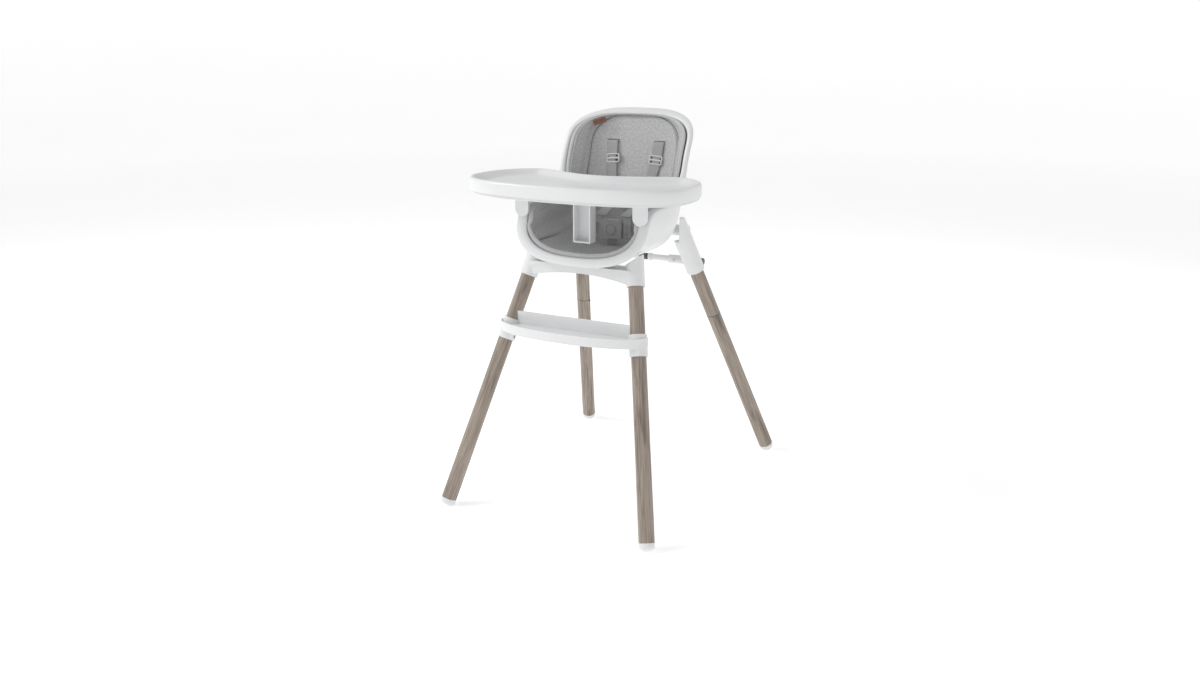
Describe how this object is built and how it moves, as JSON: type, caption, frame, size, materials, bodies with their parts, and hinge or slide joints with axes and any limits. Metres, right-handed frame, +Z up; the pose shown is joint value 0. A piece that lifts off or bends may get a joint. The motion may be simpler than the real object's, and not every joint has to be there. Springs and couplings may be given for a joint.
{
  "type": "baby high chair",
  "caption": "Baby high chair with a moulded tub seat, lined pad and harness, slide-off tray with lift-off cover, footrest and splayed legs whose rear frame folds.",
  "frame": {"origin": "on the floor, under the middle of the outline", "axes": "+Z up, the front of the chair faces -Y, +X is to the right seen from the front"},
  "size_m": [0.6124, 0.7872, 0.955],
  "materials": {
    "white_plastic": "satin moulded plastic",
    "pad_fabric": "heather woven cloth",
    "tag_leather": "matte",
    "grey_plastic": "satin moulded plastic",
    "webbing": "ribbed webbing",
    "dark_plastic": "matte",
    "leg_wood": "taupe oiled grain",
    "steel": "brushed"
  },
  "bodies": {
    "seat": {"seat_shell": "white_plastic", "seat_pad": "pad_fabric", "pad_tag": "tag_leather", "shoulder_strap_left": "webbing", "shoulder_strap_right": "webbing", "waist_strap_left": "webbing", "waist_strap_right": "webbing", "buckle_tongue_left": "grey_plastic", "buckle_tongue_right": "grey_plastic", "crotch_strap": "webbing", "buckle_body": "grey_plastic", "front_frame": "white_plastic", "seat_screws": "steel", "front_upper_leg_left": "leg_wood", "front_upper_leg_right": "leg_wood", "front_lower_leg_left": "leg_wood", "front_lower_leg_right": "leg_wood", "footrest": "white_plastic", "front_foot_caps": "white_plastic", "hinge_bracket": "white_plastic", "hinge_pin": "steel"},
    "rear_frame": {"rear_socket_left": "white_plastic", "rear_socket_right": "white_plastic", "rear_upper_leg_left": "leg_wood", "rear_upper_leg_right": "leg_wood", "rear_lower_leg_left": "leg_wood", "rear_lower_leg_right": "leg_wood", "rear_foot_caps": "white_plastic", "crossbar_sleeve_left": "white_plastic", "crossbar_sleeve_right": "white_plastic", "sleeve_rivets": "steel", "release_core": "dark_plastic", "rod_end_caps": "dark_plastic"},
    "rod_left": {"release_rod_left": "white_plastic"},
    "rod_right": {"release_rod_right": "white_plastic"},
    "tray": {"tray_base": "white_plastic"},
    "tray_top": {"tray_cover": "white_plastic"},
    "lever": {"tray_release_lever": "white_plastic"},
    "latch_left": {"tray_latch_left": "dark_plastic"},
    "latch_right": {"tray_latch_right": "dark_plastic"},
    "buckle_push": {"buckle_button": "grey_plastic"},
    "adjuster_left": {"strap_adjuster_left": "grey_plastic"},
    "adjuster_right": {"strap_adjuster_right": "grey_plastic"},
    "snap_front_left": {"snap_button_front_left": "dark_plastic"},
    "snap_front_right": {"snap_button_front_right": "dark_plastic"},
    "snap_rear_left": {"snap_button_rear_left": "dark_plastic"},
    "snap_rear_right": {"snap_button_rear_right": "dark_plastic"}
  },
  "joints": [
    {"name": "rear_fold", "type": "hinge", "parent": "seat", "child": "rear_frame", "pos_m": [0, 0.106, 0.655], "axis": [-1, 0, 0], "range_deg": [0, 38]},
    {"name": "squeeze_left", "type": "slide", "parent": "rear_frame", "child": "rod_left", "axis": [1, 0, 0], "range_m": [0, 0.003], "stiffness_N_per_m": 700},
    {"name": "squeeze_right", "type": "slide", "parent": "rear_frame", "child": "rod_right", "axis": [-1, 0, 0], "range_m": [0, 0.003], "stiffness_N_per_m": 700},
    {"name": "tray_slide", "type": "slide", "parent": "seat", "child": "tray", "axis": [0, -1, 0], "range_m": [0, 0.15]},
    {"name": "cover_lift", "type": "slide", "parent": "tray", "child": "tray_top", "axis": [0, 0, 1], "range_m": [0, 0.06]},
    {"name": "lever_pull", "type": "slide", "parent": "tray", "child": "lever", "axis": [0, -1, 0], "range_m": [0, 0.008], "stiffness_N_per_m": 500},
    {"name": "latch_left_draw", "type": "slide", "parent": "tray", "child": "latch_left", "axis": [1, 0, 0], "range_m": [0, 0.006]},
    {"name": "latch_right_draw", "type": "slide", "parent": "tray", "child": "latch_right", "axis": [-1, 0, 0], "range_m": [0, 0.006]},
    {"name": "buckle_press", "type": "slide", "parent": "seat", "child": "buckle_push", "axis": [0, 1, 0], "range_m": [0, 0.003], "stiffness_N_per_m": 500},
    {"name": "adjuster_left_slide", "type": "slide", "parent": "seat", "child": "adjuster_left", "axis": [0.0937, -0.1732, -0.9804], "range_m": [-0.02, 0.026]},
    {"name": "adjuster_right_slide", "type": "slide", "parent": "seat", "child": "adjuster_right", "axis": [-0.0937, -0.1732, -0.9804], "range_m": [-0.02, 0.026]},
    {"name": "snap_front_left_press", "type": "slide", "parent": "seat", "child": "snap_front_left", "axis": [-1, 0, 0], "range_m": [0, 0.004], "stiffness_N_per_m": 400},
    {"name": "snap_front_right_press", "type": "slide", "parent": "seat", "child": "snap_front_right", "axis": [1, 0, 0], "range_m": [0, 0.004], "stiffness_N_per_m": 400},
    {"name": "snap_rear_left_press", "type": "slide", "parent": "rear_frame", "child": "snap_rear_left", "axis": [-1, 0, 0], "range_m": [0, 0.004], "stiffness_N_per_m": 400},
    {"name": "snap_rear_right_press", "type": "slide", "parent": "rear_frame", "child": "snap_rear_right", "axis": [1, 0, 0], "range_m": [0, 0.004], "stiffness_N_per_m": 400}
  ],
  "couplings": [
    {"joint": "squeeze_right", "follows": "squeeze_left", "ratio": 1},
    {"joint": "latch_left_draw", "follows": "lever_pull", "ratio": 0.75},
    {"joint": "latch_right_draw", "follows": "lever_pull", "ratio": 0.75}
  ]
}
